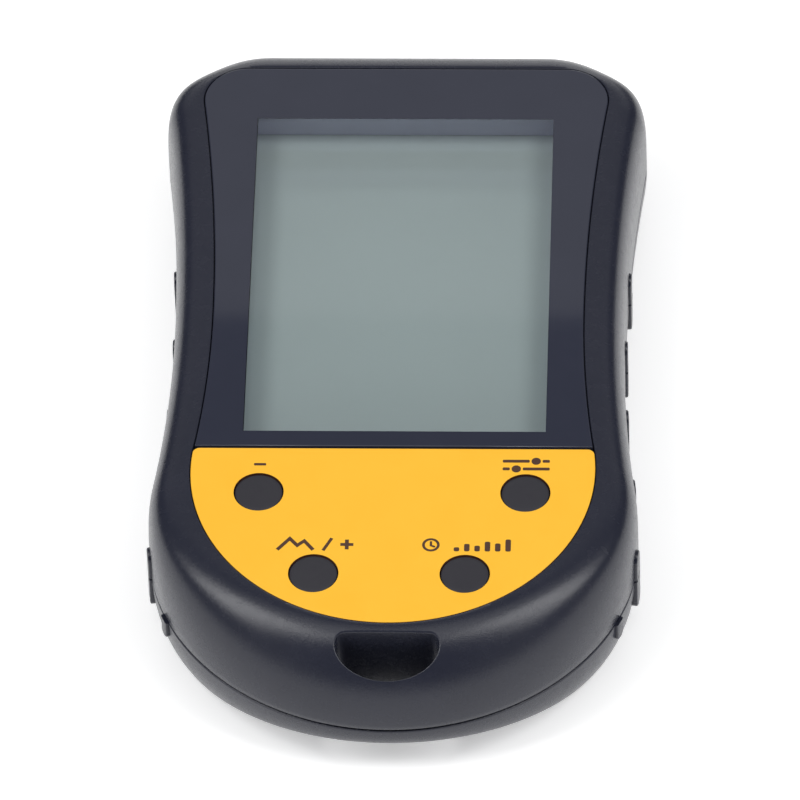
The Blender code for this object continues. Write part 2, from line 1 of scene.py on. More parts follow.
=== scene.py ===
"""The looks of the handheld outdoor instrument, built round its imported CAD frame.

Every size below is in millimetres in the frame's own axes, and is turned into metres when its mesh
is made. The camera and the lights are placed in metres.
"""

import json
from math import asin, atan, atan2, cos, hypot, pi, radians, sin, sqrt

import bmesh
import bpy
from mathutils import Matrix, Vector


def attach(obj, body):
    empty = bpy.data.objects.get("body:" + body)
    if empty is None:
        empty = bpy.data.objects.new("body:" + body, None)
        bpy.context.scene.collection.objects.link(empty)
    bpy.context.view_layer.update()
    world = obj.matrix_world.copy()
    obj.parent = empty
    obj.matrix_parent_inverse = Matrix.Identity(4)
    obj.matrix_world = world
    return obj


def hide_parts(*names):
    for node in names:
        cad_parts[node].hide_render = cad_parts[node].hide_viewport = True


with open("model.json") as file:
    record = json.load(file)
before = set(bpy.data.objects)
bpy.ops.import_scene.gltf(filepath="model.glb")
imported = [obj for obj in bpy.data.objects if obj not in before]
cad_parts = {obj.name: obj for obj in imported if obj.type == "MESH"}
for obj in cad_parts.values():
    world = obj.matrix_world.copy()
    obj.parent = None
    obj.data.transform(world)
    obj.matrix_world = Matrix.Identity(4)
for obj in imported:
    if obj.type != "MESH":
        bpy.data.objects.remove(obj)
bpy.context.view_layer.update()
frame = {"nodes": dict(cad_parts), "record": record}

MM = 0.001

# The case, as in the CAD model
THICKNESS = 20.8
PARTING_Z = 8.8
PARTING_GAP = 0.3
WALL = 1.9
FAR_Y = 56.35
NEAR_Y = -58.25
SIDE_RIM = 5.3
FAR_RIM = 6.65
NEAR_RIM = 8.55
RIM_SQUARENESS = 2.5  # added at the sides to the power of 2 with which the rim is an ellipse
BACK_ROUND_SIDE = 2.8
BACK_ROUND_FAR = 5.0
BACK_ROUND_NEAR = 8.85
BACK_ROUND_HEIGHT = 8.4
SWEEP_Y = -42.5
SWEEP_SLOPE = 0.36
SWEEP_BLEND = 1.2
WAIST = {"half": 30.1, "y": 4.5, "far_radius": 290, "near_radius": 200}
SHOULDER_Y = 40.8
HIP_Y = -23.2
HIP_RADIUS = 28.7
EDGE_ROUND = 0.17  # of the two edges along the parting groove
TONGUE = (0.75, 1.4, 9.9)  # the rear shell's lip inside the groove: outer and inner inset, top
REBATE = (0.6, 10.2)  # where the front shell makes room for it: inset, top
POINT_SPACING = 1.4
MIDDLE = 0.3  # where the middle ring of a rounding in two steps lies, as a share of its radius
RECESS_EDGE = 0.1  # rounding of the upper edge round the window and the panel
FRONT_STEPS = 26
BACK_STEPS = 20
BACK_FLAT_STEPS = 12
BACK_FLAT = (1.5, 12)  # how far the flat back's rings close in: all round, and more at the near end

RIB_PITCH = 12.35
RIB_FIRST_Y = 18.45
RIBS_PER_SIDE = 5
RIB_WIDTH = 2.6
RIB_PROUD = 0.35
RIB_ROOT = 1.4  # how far it reaches into the wall
RIB_EDGE = 0.22
RIB_STEPS = 16
RIB_TOP = 13.2
RIB_BOTTOM = 3.2
REAR_RIB_Y = -38.9  # one more, a short one on the rear shell only
REAR_RIB_WIDTH = 1.8
REAR_RIB_BOTTOM = 5.5

WINDOW = {"half": 24.72, "y": 4.0, "far_radius": 293, "near_radius": 166}
WINDOW_FAR_Y = 49.6
WINDOW_SHOULDER_Y = 43.0
WINDOW_NEAR_Y = -19.2
WINDOW_EDGE = 0.15
SEAM = 0.12  # between the window, the panel and the recess
SEAM_TURN = 0.02  # radians by which the recess's arc starts clear of its side
WINDOW_SEAT_Z = 19.0
WINDOW_BOTTOM_Z = 19.3
TOP_BAND = 0.05  # faces within this of the top belong to the window's top face
TAPE_INSET = 0.2
TAPE_GAP = 0.05  # above and below the tape
TAPE_HALF = 20.0  # the opening in the tape
TAPE_Y = (-15.1, 42.0)
OPENING_HALF = 20.0  # the clear opening in the window's border
OPENING_Y = (-16.48, 40.2)
DECK_BOTTOM_Z = 17.6

SCREEN_HALF = 20.9  # the opening in the deck
SCREEN_Y = (-16.6, 42.2)
SCREEN_TOP_Z = 15.8
SCREEN_FIT = 0.05
SCREEN_LEDGE = 1.0  # how far the foot of the frame in that opening runs out below the deck
SCREEN_LEDGE_Z = 17.5
SCREEN_FRAME_WALL = 0.3
GLASS_HALF = 22.6
GLASS_Y = (-18.2, 43.8)
GLASS_CORNER = 0.6
GLASS_DEPTH = 1.05
GLASS_EDGE = 0.1

PANEL_RADIUS = 26.7
PANEL_Y = -23.2
PANEL_FAR_Y = -19.45
PANEL_Z = (20.1, 20.78)
PANEL_CORNER = 1.0
PANEL_EDGE = 0.08
KEY_RADIUS = 3.2
KEY_HOLE_RADIUS = 3.3
KEY_FLANGE_RADIUS = 4.0
KEY_FLANGE_Z = (0.55, 0.6)  # its edge and its root, above the key's bottom
KEY_TOP_Z = 20.75
KEY_BOTTOM_Z = 16.9
KEY_EDGE = 0.3
KEY_EDGE_TURNS = (20, 40, 60, 80)
KEY_EDGE_DROP = 0.4  # from the top of the key to the centre of its rounded edge
KEY_CROWN = 0.1
KEY_WALL_DROP = 0.45  # from the top of the key to the top of its straight wall
KEYS = {
    "minus": (-17.53, -27.25),
    "set": (17.53, -27.25),
    "plus": (-9.9, -41.4),
    "history": (9.9, -41.4),
}

SLOT_FAR_Y = -51.25
SLOT_MID_Y = -52.6
SLOT_NEAR_Y = -56.2
SLOT_HALF = 6.8
SLOT_WALL = 1.2
SLOT_LIP = 0.25
SLOT_LIP_TURNS = (0, 15, 30, 45, 60, 75)
SLOT_PAST = 2  # how far its cutter runs on past the front and the back

INK_WIDTH = 0.5
INK_Z = (0.02, 0.015)  # how far the symbols reach into the panel and stand out of it
MINUS = (-18.3, -22.62, -16.7, -22.2)
SLIDERS_AT = (17.55, -22.35)
SLIDERS = {"half": 3.1, "rise": 0.68, "knob_x": 1.3, "knob": 0.62, "gap": 0.85}
PEAKS_AT = (-9.75, -36.4)
PEAKS = ((-5.0, -0.95), (-3.4, 1.0), (-2.4, -0.2), (-1.5, 0.6), (-0.3, -0.95))
SLASH = ((1.0, -1.05), (2.1, 1.1))
SLASH_SHARE = 0.85  # of the width of the other strokes
PLUS = (4.1, 0.85)  # x and arm
CHART_AT = (9.95, -36.4)
CHART = {"x": -1.6, "y": -1.1, "pitch": 1.35, "width": 0.72}
CHART_HEIGHTS = (0.7, 1.3, 1.0, 1.7, 1.4, 2.1)
CLOCK_AT = (CHART_AT[0] - 4.6, CHART_AT[1])
CLOCK_RADII = (0.8, 1.15)
CLOCK_HANDS = ((0, 0.62), (0, -0.1), (0.55, -0.35))
CLOCK_HAND_WIDTH = 0.3

CELL_RADIUS = 5.25
CELL_LENGTH = 44.5
CELL_Z = 7.25
CELL_Y = {"near": -34.2, "far": -23.2}
BAY_HALF = 24.8
BAY_Y = (-39.7, -17.7)
BAY_CHAMFER = 2.0
BAY_ROOF_Z = 12.6
BAY_WALL = 1.2
BAY_CORNER = 1.0
BAY_BLOCK_Z = 1.2
DOOR_LEDGE = 1.0
DOOR_GAP = 0.25
DOOR_Z = (0.25, 1.65)
DOOR_HINGE_GAP = 0.6
DOOR_CORNER = 0.9
DOOR_EDGE = 0.2
GRIP = {"y": BAY_Y[0] + 2.9, "half_x": 6.5, "half_y": 1.9, "depth": 0.55, "taper": 0.5}
GRIP_STEPS = 48
GRIP_MOUTH = (0.3, 0.6)  # how far below the door its cutter begins, and how much wider
RIDGE = {"pitch": 1.9, "half": 0.3, "reach": 1.35, "end_reach": 1.05, "corner": 0.25}
RIDGE_Z = (0.08, 0.7)  # above the door's outer face
HINGE_Y = -15.8
HINGE_Z = 1.0
LUG_X = 14
LUG_LENGTH = 6
LUG = {"root": 0.7, "past": 0.6, "low": 0.15, "high": 0.05}  # into the door, past the hinge
LUG_ROOM = {"side": 0.4, "root": 1, "past": 1.1, "top_z": 2.1}
PIN_RADIUS = 0.45
PIN_LENGTH = 8.4
SOCKET_RADIUS = 0.6
SOCKET_LENGTH = 9.0
CASE_SCREWS = {1: (-23.6, 48.0), 2: (23.6, 48.0), 3: (-15.0, -46.9), 4: (15.0, -46.9)}
BOSS_RADIUS = 3.0
PILOT_RADIUS = 1.3
COUNTERBORE = (2.3, 3.0)  # radius, depth
VENT_Y = 34
VENT_RADIUS = 0.8
VENT_TOP_Z = 3

# The hollows of the shells, and where their cutters begin and end
BELOW = -1
ABOVE = THICKNESS + 1
DEEP_Z = 10  # below the deck
FRONT_ROOM = (  # inset and height, upwards
    (REBATE[0], PARTING_Z - 1),
    REBATE,
    (WALL, REBATE[1]),
    (WALL + 0.1, 12.5),
    (WALL + 1.4, 15.8),
    (WALL + 3.1, DECK_BOTTOM_Z),
)
REAR_ROOM_Z = (WALL - 0.1, 3.2, 5.0, 7.0)
REAR_ROOM_DROP = 1.5  # it takes the shape that the outside has this much lower
REAR_ROOM_EASE = 0.3

# Shading and slots, by the z of a face's unit normal
SHARP_ANGLE = 32  # degrees; edges steeper than this stay sharp
LEVEL_NORMAL = 0.9999  # beyond it a face is flat and level
UPWARD_NORMAL = 0.99
SLANTED_NORMAL = 0.5  # below it a face looks sideways

# Rounded edges and tolerances
EDGE_TURNS = (0, 30, 60, 90)
MITRE_LIMIT = 0.3
BAR_CORNER = 0.35  # of the shorter side of a printed bar
ON_AXIS = 1e-6
PARALLEL = 1e-9
BISECT_DISTANCE = 1e-7


# Meshes


def finished(name, bm, *materials):
    """An object in the scene from a bmesh drawn in millimetres."""
    bmesh.ops.recalc_face_normals(bm, faces=bm.faces)
    bmesh.ops.scale(bm, vec=(MM, MM, MM), verts=bm.verts)
    mesh = bpy.data.meshes.new(name)
    bm.to_mesh(mesh)
    bm.free()
    for made in materials:
        mesh.materials.append(made)
    obj = bpy.data.objects.new(name, mesh)
    bpy.context.scene.collection.objects.link(obj)
    return obj


def boolean(obj, operation, *others):
    """The others cut from, or joined to, an object, and then removed."""
    for other in others:
        made = obj.modifiers.new(other.name, "BOOLEAN")
        made.operation = operation
        made.solver = "EXACT"
        made.object = other
    graph = bpy.context.evaluated_depsgraph_get()
    mesh = bpy.data.meshes.new_from_object(obj.evaluated_get(graph))
    obj.modifiers.clear()
    obj.data = mesh
    for other in others:
        bpy.data.objects.remove(other)


def cut(obj, *others):
    boolean(obj, "DIFFERENCE", *others)


def join(obj, *others):
    boolean(obj, "UNION", *others)


def shade(obj, angle=SHARP_ANGLE):
    """Smooth over soft edges, with the flat tops left flat so that they mirror straight."""
    obj.data.shade_smooth()
    obj.data.set_sharp_from_angle(angle=radians(angle))
    for face in obj.data.polygons:
        if abs(face.normal.z) > LEVEL_NORMAL:
            face.use_smooth = False


def add_solid(bm, rings, closed=False):
    """Adds a solid through rings of (x, y, z) of equal count, and returns its vertices."""
    loops = [[bm.verts.new(point) for point in ring] for ring in rings]
    pairs = list(zip(loops, loops[1:]))
    if closed:
        pairs.append((loops[-1], loops[0]))
    for low, high in pairs:
        for i in range(len(low)):
            j = (i + 1) % len(low)
            bm.faces.new((low[i], low[j], high[j], high[i]))
    if not closed:
        bm.faces.new(loops[0][::-1])
        bm.faces.new(loops[-1])
    return [vert for loop in loops for vert in loop]


def loft(name, rings, *materials, closed=False):
    """A solid through rings, capped at both ends or closed on itself."""
    bm = bmesh.new()
    add_solid(bm, rings, closed)
    return finished(name, bm, *materials)


def level(outline, z):
    return [(x, y, z) for x, y in outline]


def slab(name, outline, low_z, high_z, *materials):
    return loft(name, [level(outline, low_z), level(outline, high_z)], *materials)


def box(name, low, high, *materials):
    outline = [(low[0], low[1]), (high[0], low[1]), (high[0], high[1]), (low[0], high[1])]
    return slab(name, outline, low[2], high[2], *materials)


def post(name, x, y, radius, low_z, high_z, steps=48):
    return slab(name, arc((x, y), radius, 0, 2 * pi, steps), low_z, high_z)


def rod(name, x, radius, length, steps=32):
    """A round bar along the door's hinge axis."""
    section = arc((HINGE_Y, HINGE_Z), radius, 0, 2 * pi, steps)
    ends = (x - length / 2, x + length / 2)
    return loft(name, [[(end, y, z) for y, z in section] for end in ends])


def turned(name, profile, at, *materials, along="Z", steps=64, slots=()):
    """A profile of (radius, height) points turned about its axis, with a slot for each band."""
    bm = bmesh.new()
    rings = []
    turns = [2 * pi * i / steps for i in range(steps)]
    for radius, height in profile:
        around = turns if radius else turns[:1]
        rings.append([bm.verts.new((radius * cos(a), radius * sin(a), height)) for a in around])
    for k, (low, high) in enumerate(zip(rings, rings[1:])):
        for i in range(steps):
            j = (i + 1) % steps
            corners = (
                low[i % len(low)],
                low[j % len(low)],
                high[j % len(high)],
                high[i % len(high)],
            )
            face = bm.faces.new(list(dict.fromkeys(corners)))
            face.material_index = slots[k] if slots else 0
    if along != "Z":
        turn = pi / 2 if along == "X" else -pi / 2
        bmesh.ops.rotate(bm, matrix=Matrix.Rotation(turn, 3, "Y"), verts=bm.verts)
    bmesh.ops.translate(bm, vec=at, verts=bm.verts)
    return finished(name, bm, *materials)


# Outlines: lists of (x, y), anticlockwise


def arc(centre, radius, start, end, steps):
    """Points along an arc, without its last one."""
    turn = (end - start) / steps
    return [
        (centre[0] + radius * cos(start + turn * i), centre[1] + radius * sin(start + turn * i))
        for i in range(steps)
    ]


def side_x(waist, y):
    radius = waist["far_radius"] if y > waist["y"] else waist["near_radius"]
    return waist["half"] + (y - waist["y"]) ** 2 / (2 * radius)


def side(waist, start, end, steps):
    """Points down the waisted right-hand side, without the last one."""
    heights = [start + (end - start) * i / steps for i in range(steps)]
    return [(side_x(waist, y), y) for y in heights]


def far_corner(waist, shoulder_y, far_y, steps):
    """The arc from the straight far edge to the side, tangent to both."""
    lean = atan((shoulder_y - waist["y"]) / waist["far_radius"])
    radius = (far_y - shoulder_y) / (1 + sin(lean))
    centre = (side_x(waist, shoulder_y) - radius * cos(lean), shoulder_y + radius * sin(lean))
    return arc(centre, radius, pi / 2, -lean, steps)


def hip_centre():
    """The centre of the hip arc, and the angle at which it leaves the side."""
    lean = atan((WAIST["y"] - HIP_Y) / WAIST["near_radius"])
    centre = (side_x(WAIST, HIP_Y) - HIP_RADIUS * cos(lean), HIP_Y - HIP_RADIUS * sin(lean))
    return centre, lean


def near_end(hip_steps, end_steps):
    """The hip arc and the end arc that follow the side, tangent to it and to each other."""
    hip, lean = hip_centre()
    reach = -NEAR_Y - HIP_RADIUS
    end_y = (hip[0] ** 2 + hip[1] ** 2 - reach**2) / (2 * reach + 2 * hip[1])
    join_angle = atan2(hip[1] - end_y, hip[0])
    return arc(hip, HIP_RADIUS, lean, join_angle, hip_steps) + arc(
        (0, end_y), end_y - NEAR_Y, join_angle, -pi / 2, end_steps
    )


def mirrored(right):
    """A closed outline from its right-hand half, which runs from the far edge to the near one."""
    left = [(-x, y) for x, y in reversed(right) if abs(x) > ON_AXIS]
    return (right + left)[::-1]


def split_long(points, longest=POINT_SPACING):
    """The closed outline with its long straight stretches divided evenly."""
    made = []
    for (x0, y0), (x1, y1) in zip(points, points[1:] + points[:1]):
        parts = max(1, round(hypot(x1 - x0, y1 - y0) / longest))
        made += [(x0 + (x1 - x0) * k / parts, y0 + (y1 - y0) * k / parts) for k in range(parts)]
    return made


def body_outline():
    right = (
        [(0, FAR_Y)]
        + far_corner(WAIST, SHOULDER_Y, FAR_Y, steps=26)
        + side(WAIST, SHOULDER_Y, HIP_Y, steps=52)
        + near_end(hip_steps=10, end_steps=46)
        + [(0, NEAR_Y)]
    )
    return split_long(mirrored(right))


def window_outline(grow):
    right = (
        [(0, WINDOW_FAR_Y)]
        + far_corner(WINDOW, WINDOW_SHOULDER_Y, WINDOW_FAR_Y, steps=22)
        + side(WINDOW, WINDOW_SHOULDER_Y, WINDOW_NEAR_Y, steps=50)
        + [(side_x(WINDOW, WINDOW_NEAR_Y), WINDOW_NEAR_Y), (0, WINDOW_NEAR_Y)]
    )
    return inset(mirrored(right), -grow)


def panel_outline(grow):
    """The D of the key panel, with its two far corners rounded."""
    y = PANEL_FAR_Y - PANEL_CORNER
    x = sqrt((PANEL_RADIUS - PANEL_CORNER) ** 2 - (y - PANEL_Y) ** 2)
    lean = atan2(y - PANEL_Y, x)
    right = (
        [(0, PANEL_FAR_Y)]
        + arc((x, y), PANEL_CORNER, pi / 2, lean, steps=10)
        + arc((0, PANEL_Y), PANEL_RADIUS, lean, -pi / 2, steps=70)
        + [(0, PANEL_Y - PANEL_RADIUS)]
    )
    return inset(mirrored(right), -grow)


def recess_outline():
    """The edge of the window and the panel together."""
    start = asin((PANEL_FAR_Y + SEAM / 2 - PANEL_Y) / PANEL_RADIUS)
    right = (
        [(0, WINDOW_FAR_Y)]
        + far_corner(WINDOW, WINDOW_SHOULDER_Y, WINDOW_FAR_Y, steps=30)
        + side(WINDOW, WINDOW_SHOULDER_Y, WINDOW_NEAR_Y, steps=60)
        + arc((0, PANEL_Y), PANEL_RADIUS, start - SEAM_TURN, -pi / 2, steps=90)
        + [(0, PANEL_Y - PANEL_RADIUS)]
    )
    return inset(mirrored(right), -SEAM / 2)


def slot_outline(grow, steps=48):
    """The lanyard slot: half an ellipse below a straight edge with two round corners."""
    depth, corner = SLOT_MID_Y - SLOT_NEAR_Y, SLOT_FAR_Y - SLOT_MID_Y
    turns = [pi + pi * i / steps for i in range(steps)]
    near = [(SLOT_HALF * cos(turn), SLOT_MID_Y + depth * sin(turn)) for turn in turns]
    right = arc((SLOT_HALF - corner, SLOT_MID_Y), corner, 0, pi / 2, steps=8)
    left = arc((corner - SLOT_HALF, SLOT_MID_Y), corner, pi / 2, pi, steps=8)
    return inset(split_long(near + right + left, longest=0.8), -grow)


def rectangle(half_x, low_y, high_y):
    return [(-half_x, low_y), (half_x, low_y), (half_x, high_y), (-half_x, high_y)]


def rounded(points, radius, steps=8):
    """The outline with each of its corners turned into an arc of about that radius."""
    made = []
    for i, (x, y) in enumerate(points):
        corner = Vector((x, y))
        before = (Vector(points[i - 1]) - corner).normalized()
        after = (Vector(points[(i + 1) % len(points)]) - corner).normalized()
        for k in range(steps + 1):
            share = k / steps
            a, b = corner + before * radius * (1 - share), corner + after * radius * share
            made.append(tuple(a.lerp(b, share)))
    return made


def bay_outline(grow):
    """The battery bay, with its two near corners cut off to clear the rounded end."""
    (low_y, high_y), half = BAY_Y, BAY_HALF
    near = [(half - BAY_CHAMFER, low_y), (half, low_y + BAY_CHAMFER), (half, high_y)]
    return inset(near + [(-x, y) for x, y in reversed(near)], -grow)


def edge_normal(start, end):
    run, rise = end[0] - start[0], end[1] - start[1]
    return Vector((rise, -run)).normalized()


def mitres(points):
    """Each point's unit normal, and how much longer than the inset its move has to be."""
    found = []
    for i, point in enumerate(points):
        before = edge_normal(points[i - 1], point)
        after = edge_normal(point, points[(i + 1) % len(points)])
        normal = (before + after).normalized()
        found.append((normal, 1 / normal.dot(after)))
    return found


def inset(points, amount):
    """The outline moved in, with mitred corners, by an amount or a function of the unit normal."""
    moved = []
    for (x, y), (normal, longer) in zip(points, mitres(points)):
        by = (amount(*normal) if callable(amount) else amount) * longer
        moved.append((x - normal.x * by, y - normal.y * by))
    return moved


def rim_width(nx, ny):
    return SIDE_RIM * nx**2 + (FAR_RIM if ny > 0 else NEAR_RIM) * ny**2


def back_round(nx, ny):
    end = BACK_ROUND_FAR if ny > 0 else BACK_ROUND_NEAR
    return BACK_ROUND_SIDE * nx**2 + end * abs(ny) ** 3


def back_inset(z):
    """How far the rear shell draws in at a height, as a function of the unit normal."""
    width = 1 - sqrt(1 - min(1, max(0, 1 - z / BACK_ROUND_HEIGHT)) ** 2)
    return lambda nx, ny: back_round(nx, ny) * width


def swept(y, z, above=0):
    """The height z at y, lifted where needed to stay above the slope of the back."""
    slope = SWEEP_SLOPE * (SWEEP_Y - y) + above
    return max(z, slope) + max(0, SWEEP_BLEND - abs(z - slope)) ** 2 / (4 * SWEEP_BLEND)


def swept_ring(amount, z, above=0):
    return [(x, y, swept(y, z, above)) for x, y in inset(OUTLINE, amount)]


def floor_rings(amount, z, above=0):
    """Rings at one level, innermost first, of which the innermost lies clear of the slope."""
    around, near = BACK_FLAT

    def closed_in(share):
        return lambda nx, ny: amount(nx, ny) + share * (around + near * min(0, ny) ** 2)

    shares = [step / BACK_FLAT_STEPS for step in range(BACK_FLAT_STEPS, 0, -1)]
    return [swept_ring(closed_in(share), z, above) for share in shares]


OUTLINE = body_outline()
NORMALS = [normal for normal, _ in mitres(OUTLINE)]


def edge_distance(x, y):
    """How far inside the outline a point lies, and the outline's unit normal there."""
    here = Vector((x, y))
    best = None
    for i, start in enumerate(OUTLINE):
        end = OUTLINE[(i + 1) % len(OUTLINE)]
        a, along = Vector(start), Vector(end) - Vector(start)
        share = min(1, max(0, (here - a).dot(along) / along.length_squared))
        distance = (here - a - along * share).length
        if best is None or distance < best[0]:
            normal = NORMALS[i].lerp(NORMALS[(i + 1) % len(NORMALS)], share).normalized()
            best = (distance, normal)
    return best


def rim_z(depth, normal):
    """The front's height at a depth inside the outline, whose unit normal there is given."""
    power = 2 + RIM_SQUARENESS * normal[0] ** 8
    short = max(0, 1 - depth / rim_width(*normal))
    return PARTING_Z + (THICKNESS - PARTING_Z) * (1 - short**power) ** (1 / power)


def front_z(x, y):
    depth, normal = edge_distance(x, y)
    return rim_z(depth, normal)


def back_z(x, y):
    depth, normal = edge_distance(x, y)
    short = max(0, 1 - depth / back_round(*normal))
    return swept(y, BACK_ROUND_HEIGHT * (1 - sqrt(1 - short**2)))


# The case


def recess_depths():
    """How far in from each point of the outline the recess for the window and the panel begins."""
    recess = recess_outline()
    found = []
    for (x, y), normal in zip(OUTLINE, NORMALS):
        nearest = None
        for (x0, y0), (x1, y1) in zip(recess, recess[1:] + recess[:1]):
            run, rise = x1 - x0, y1 - y0
            det = rise * normal.x - run * normal.y
            if abs(det) < PARALLEL:
                continue
            depth = (rise * (x - x0) - run * (y - y0)) / det
            share = (normal.x * (y - y0) - normal.y * (x - x0)) / det
            if 0 <= share <= 1 and depth > 0 and (nearest is None or depth < nearest):
                nearest = depth
        found.append(nearest)
    return found


def rib_place(y):
    """(x, y, angle of the outward normal) of a right-hand rib, on the case's outline."""
    hip, _ = hip_centre()
    if y > HIP_Y:
        radius = WAIST["far_radius"] if y > WAIST["y"] else WAIST["near_radius"]
        return side_x(WAIST, y), y, (WAIST["y"] - y) / radius
    angle = asin((y - hip[1]) / HIP_RADIUS)
    return hip[0] + HIP_RADIUS * cos(angle), y, angle


def rib_rings(low_z, high_z, width):
    """The rings of a rib along +X, rounded at the end away from the parting groove."""
    half = width / 2
    upward = high_z > PARTING_Z + 1
    centre_z, flat_z, turn = (high_z - half, low_z, 1) if upward else (low_z + half, high_z, -1)
    middle = MIDDLE * RIB_EDGE
    rings = []
    for out, shrink in (
        (-RIB_ROOT, 0),
        (RIB_PROUD - RIB_EDGE, 0),
        (RIB_PROUD - middle, middle),
        (RIB_PROUD, RIB_EDGE),
    ):
        r = half - shrink
        round_end = [pi * i / RIB_STEPS for i in range(RIB_STEPS + 1)]
        section = [(r, flat_z)]
        section += [(r * cos(a), centre_z + turn * r * sin(a)) for a in round_end]
        section.append((-r, flat_z))
        rings.append([(out, across, z) for across, z in section])
    return rings


def ribs(name, low_z, high_z, places=None, width=RIB_WIDTH):
    """The grip ribs of one shell: bars with soft edges, standing out of the wall on both sides."""
    bm = bmesh.new()
    rings = rib_rings(low_z, high_z, width)
    for row in places or [RIB_FIRST_Y - RIB_PITCH * k for k in range(RIBS_PER_SIDE)]:
        x, y, angle = rib_place(row)
        for flip in (False, True):
            verts = add_solid(bm, rings)
            bmesh.ops.rotate(bm, matrix=Matrix.Rotation(angle, 3, "Z"), verts=verts)
            bmesh.ops.translate(bm, vec=(x, y, 0), verts=verts)
            if flip:
                bmesh.ops.scale(bm, vec=(-1, 1, 1), verts=verts)
    return finished(name, bm)


def slot_cutter(name):
    """A prism through both shells that flares into a rounded lip at the front and at the back."""
    rings = []
    turns = [radians(turn) for turn in SLOT_LIP_TURNS]
    for turn in reversed(turns):
        ring = slot_outline(SLOT_LIP * (1 - cos(turn)))
        rings.append([(x, y, back_z(x, y) + SLOT_LIP * (1 - sin(turn))) for x, y in ring])
    rings.insert(0, [(x, y, z - SLOT_PAST) for x, y, z in rings[0]])
    for turn in turns:
        ring = slot_outline(SLOT_LIP * (1 - cos(turn)))
        rings.append([(x, y, front_z(x, y) - SLOT_LIP * (1 - sin(turn))) for x, y in ring])
    rings.append([(x, y, z + SLOT_PAST) for x, y, z in rings[-1]])
    return loft(name, rings)


def make_case_front():
    low_z = PARTING_Z + PARTING_GAP / 2
    depths = recess_depths()
    rings = [level(inset(OUTLINE, REBATE[0]), low_z), level(inset(OUTLINE, EDGE_ROUND), low_z)]
    rings.append(level(inset(OUTLINE, MIDDLE * EDGE_ROUND), low_z + MIDDLE * EDGE_ROUND))
    rings.append(level(OUTLINE, low_z + EDGE_ROUND))
    edge = RECESS_EDGE
    lift = asin((low_z + EDGE_ROUND - PARTING_Z) / (THICKNESS - PARTING_Z))
    for step in range(1, FRONT_STEPS + 1):
        turn = lift + (pi / 2 - lift) * step / FRONT_STEPS
        ring = []
        for (x, y), normal, depth in zip(OUTLINE, NORMALS, depths):
            by = (depth - edge) * (1 - cos(turn))
            ring.append((x - normal.x * by, y - normal.y * by, rim_z(by, normal)))
        rings.append(ring)
    top = rings[-1]
    for inward, down in (
        ((1 - MIDDLE) * edge, MIDDLE * edge),
        (edge, edge),
        (edge, THICKNESS - WINDOW_SEAT_Z),
    ):
        ring = []
        for (x, y, z), normal in zip(top, NORMALS):
            floor = WINDOW_SEAT_Z if down > 1 else z - down
            ring.append((x - normal.x * inward, y - normal.y * inward, floor))
        rings.append(ring)
    case = loft("case_front", rings, SHELL)

    room = loft("front_room", [level(inset(OUTLINE, by), z) for by, z in FRONT_ROOM])
    cut(room, slab("slot_tube", slot_outline(SLOT_WALL), 0, THICKNESS))
    opening = slab("screen_opening", rectangle(SCREEN_HALF, *SCREEN_Y), DEEP_Z, ABOVE)
    cutters = [room, opening, slot_cutter("slot")]
    for k, at in KEYS.items():
        cutters.append(post(f"key_hole_{k}", *at, KEY_HOLE_RADIUS, DEEP_Z, ABOVE))
    cut(case, *cutters)
    join(case, ribs("front_ribs", low_z, RIB_TOP))
    shade(case)
    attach(case, "case")
    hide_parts("front_shell")


def rear_room_inset(z):
    outside = back_inset(z - REAR_ROOM_DROP)
    return lambda nx, ny: outside(nx, ny) + WALL - REAR_ROOM_EASE


